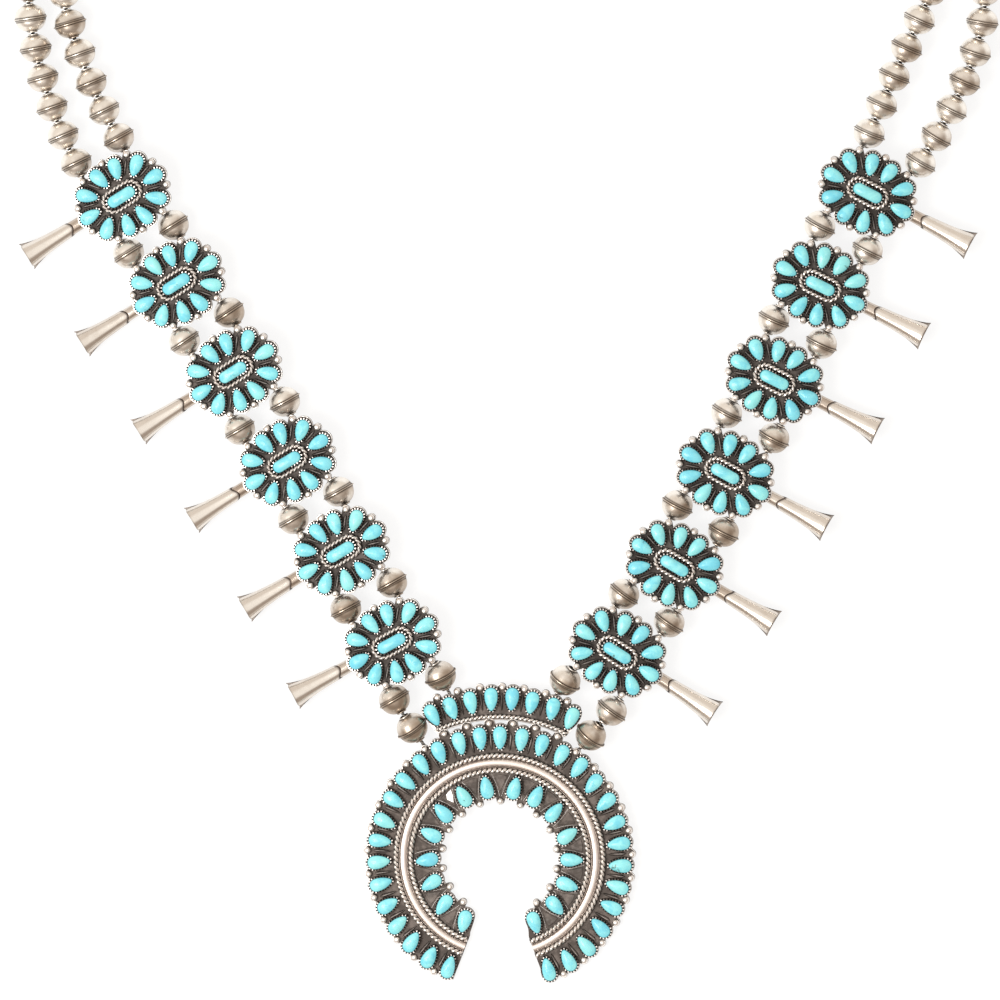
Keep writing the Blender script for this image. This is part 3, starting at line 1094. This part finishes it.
# bars between the outer and crown stones, and V lines between the inner ones
for a, r in OUTER_BALLS:
    radial_bar(nj, a + swing(a) * 0.12, 28.4, 33.0, 0.55, 1.2, T - 0.05, 0.45, pol=0.16)
for a, r in CROWN_BALLS:
    radial_bar(nj, a, 38.9, 43.5, 0.5, 0.9, T - 0.05, 0.45, pol=0.12)
for a, r in INNER_BALLS:
    tip = polar(16.35, a)
    for sg in (-1, 1):
        e = polar(22.25, a + sg * 6.3)
        m_ = (tip + e) / 2 + polar(0.18, a + sg * 90) * (-1)
        path = np.array([np.append(tip + polar(0.25, a + sg * 90), T + 0.02), np.append(m_, T + 0.05), np.append(e, T + 0.02)])
        v_line(nj, resample(path, 0.9), 0.07, 0.5)
    # a plain flat field in the triangle
    tri = np.array([polar(17.6, a), polar(21.9, a - 4.6), polar(22.1, a), polar(21.9, a + 4.6)])
    c = tri.mean(0)
    pol = 0.04 + 0.10 * gen.random()
    fld = np.array([[np.append(c + (q - c) * f, zz) for q in tri] for f, zz in ((1.0, T - 0.05), (0.97, T + 0.05), (0.9, T + 0.09))])
    rings(nj, fld, np.array([0.1, pol * 0.8, pol])[:, None])
# one field is rubbed bright
fld = np.array([(-12.9, 17.9), (-14.0, 16.5), (-13.8, 15.2), (-12.1, 14.4), (-12.3, 16.3)])
c = fld.mean(0)
rings(nj, np.array([[np.append(c + (q - c) * f, zz) for q in fld] for f, zz in ((1.06, T - 0.05), (1.0, T + 0.10), (0.9, T + 0.13))]), np.array([0.3, 1.4, 1.4])[:, None], tone=-0.6)
nj.moved(naja_fn)
# wire rings on the back, in which the strands end
for key in ("lo", "li", "ro", "ri"):
    e = ENDS[key]
    c = ring_at(e)
    d = unit([e[-1][0] - e[-2][0], e[-1][1] - e[-2][1], 0])
    q = np.array([-d[1], d[0], 0])
    t = np.arange(28) * 2 * math.pi / 28
    r = ring_r(e[-1][1]) - 0.45
    P = c + r * (np.cos(t)[:, None] * q + np.sin(t)[:, None] * np.array([0, 0, 1.0]))
    tube(nj, P, 0.44, 10, closed=True, polish=0.5, up=tuple(d))
finish_piece(nj.build("crescent_pendant", [M_NAJA]), "naja")

st = Shape()
for name in ("outer", "inner"):
    for P, N in naja_rows[name]:
        cabochon(st, P[::2], N[::2], T + 0.06, BEZEL_H + 0.58 + gen.uniform(-0.1, 0.08), BEZEL_H * 0.72, gen)
finish_piece(st.moved(naja_fn).build("turquoise_crescent", [M_STONE], 60), "naja_stones")
st = Shape()
for P, N in naja_rows["crown"]:
    cabochon(st, P[::2], N[::2], T + 0.06, BEZEL_H + 0.58 + gen.uniform(-0.1, 0.08), BEZEL_H * 0.72, gen)
finish_piece(st.moved(naja_fn).build("turquoise_crown", [M_STONE], 60), "crown_stones")

# ------------------------------------------------------------------ clasp
cl = Shape()
cy = (146.0 + 136.6) / 2
th = np.arange(48) * 2 * math.pi / 48
prof = [(0.9, -9.30, 0.8), (1.9, -9.25, 0.9), (2.3, -8.95, 0.95), (2.9, -8.5, 0.9), (3.15, -8.42, 0.3), (3.42, -8.36, 0.9), (3.5, -8.2, 1.0), (3.5, -7.6, 1.0), (3.38, -7.5, 0.3), (3.36, -7.2, 0.6)]
body = prof + [(3.42, -4, 0.9), (3.44, 0, 0.95), (3.42, 4, 0.9)] + [(r, -y, w) for r, y, w in prof[::-1]]
R = np.array([np.stack([r * np.cos(th), np.full(48, cy + y), 3.5 + r * np.sin(th)], -1) for r, y, _ in body])
rings(cl, R, np.array([w for *_, w in body])[:, None])
for y in (146.0, 136.6):
    pf = [(0.62, 3.0, 0.1), (1.25, 3.0, 0.4), (1.25, 3.5, 0.9), (1.12, 3.6, 0.4), (1.14, 3.75, 0.9), (1.02, 3.88, 0.6), (0.62, 3.88, 0.0)]
    t2 = np.arange(24) * 2 * math.pi / 24
    for sg in (-1, 1):
        R = np.array([np.stack([np.full(24, sg * x), y + r * np.cos(t2), AXIS_Z + r * np.sin(t2)], -1) for r, x, _ in pf])
        loop_rings(cl, R.transpose(1, 0, 2), np.broadcast_to(np.array([w for *_, w in pf])[None], (24, len(pf))))
finish_piece(cl.build("tube_clasp", [M_BEAD]), "clasp")

# ------------------------------------------------------------------ floor, light, camera
floor_me = bpy.data.meshes.new("floor")
S = 3.0
floor_me.from_pydata([(-S, -S, -0.0002), (S, -S, -0.0002), (S, S, -0.0002), (-S, S, -0.0002)], [], [(0, 1, 2, 3)])
floor = bpy.data.objects.new("floor", floor_me)
bpy.context.scene.collection.objects.link(floor)
fm, nt, fb = nodes_of("floor_paper")
tc = N_(nt, "ShaderNodeTexCoord").outputs["Object"]
fc = mixc(nt, noise(nt, tc, 40, 2), (0.21, 0.21, 0.21), (0.23, 0.23, 0.23))
nt.links.new(fc, fb.inputs["Base Color"])
fb.inputs["Roughness"].default_value = 0.9
fb.inputs["Specular IOR Level"].default_value = 0.1
fb.inputs["Emission Color"].default_value = (1, 1, 1, 1)
fb.inputs["Emission Strength"].default_value = 0.83
floor_me.materials.append(fm)
floor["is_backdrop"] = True

world = bpy.data.worlds.new("studio")
bpy.context.scene.world = world
world.use_nodes = True
nt = world.node_tree
nt.nodes.clear()
out = nt.nodes.new("ShaderNodeOutputWorld")
bg = nt.nodes.new("ShaderNodeBackground")
nt.links.new(bg.outputs[0], out.inputs[0])
gen_out = N_(nt, "ShaderNodeTexCoord").outputs["Generated"]


def toward(d):
    n = N_(nt, "ShaderNodeVectorMath", operation="DOT_PRODUCT")
    nt.links.new(gen_out, n.inputs[0])
    n.inputs[1].default_value = tuple(unit(d))
    return n.outputs["Value"]


sep = N_(nt, "ShaderNodeSeparateXYZ")
nt.links.new(gen_out, sep.inputs[0])
el = sep.outputs[2]
middle = mixc(nt, remap(nt, toward((-0.40, 0.92, 0.0)), -0.55, 0.60), (0.42, 0.35, 0.30), (0.84, 0.77, 0.70))   # brown side, beige side
sky = mixc(nt, remap(nt, el, 0.06, 0.26), (0.86, 0.81, 0.75), middle)
sky = mixc(nt, remap(nt, el, 0.70, 0.90), sky, (1.05, 1.01, 0.96))                                                # pale ceiling
nt.links.new(sky, bg.inputs["Color"])
bg.inputs["Strength"].default_value = 1.0

key = bpy.data.lights.new("key", "AREA")
key.shape = "RECTANGLE"
key.size, key.size_y = 0.50, 0.46
key.energy = 5.0
key.color = (1.0, 0.985, 0.96)
ko = bpy.data.objects.new("key", key)
bpy.context.scene.collection.objects.link(ko)
ko.location = (-0.46, -0.20, 0.84)
ko.rotation_euler = (Vector((0, -0.02, 0)) - Vector(ko.location)).to_track_quat("-Z", "Y").to_euler()

cam_data = bpy.data.cameras.new("camera")
cam = bpy.data.objects.new("camera", cam_data)
bpy.context.scene.collection.objects.link(cam)
target = Vector((-1.69, -28.7, 0)) * MM
zc = Vector((math.tan(math.radians(5)), math.tan(math.radians(4)), 1)).normalized()
xc = Vector((0, 1, 0)).cross(zc).normalized()
yc = zc.cross(xc)
M = Matrix((xc, yc, zc)).transposed().to_4x4()
M.translation = target + zc * 4.83
cam.matrix_world = M
cam_data.sensor_width = 36
cam_data.lens = 667.2
cam_data.clip_start = 0.05
cam_data.clip_end = 20
bpy.context.scene.camera = cam
bpy.context.scene.view_settings.view_transform = "Standard"
bpy.context.scene.view_settings.look = "None"

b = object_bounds()


def plain(x):
    return [[float(c) for c in p] for p in x]


{"cad": plain(CAD_BOX), "visual": plain(b)}
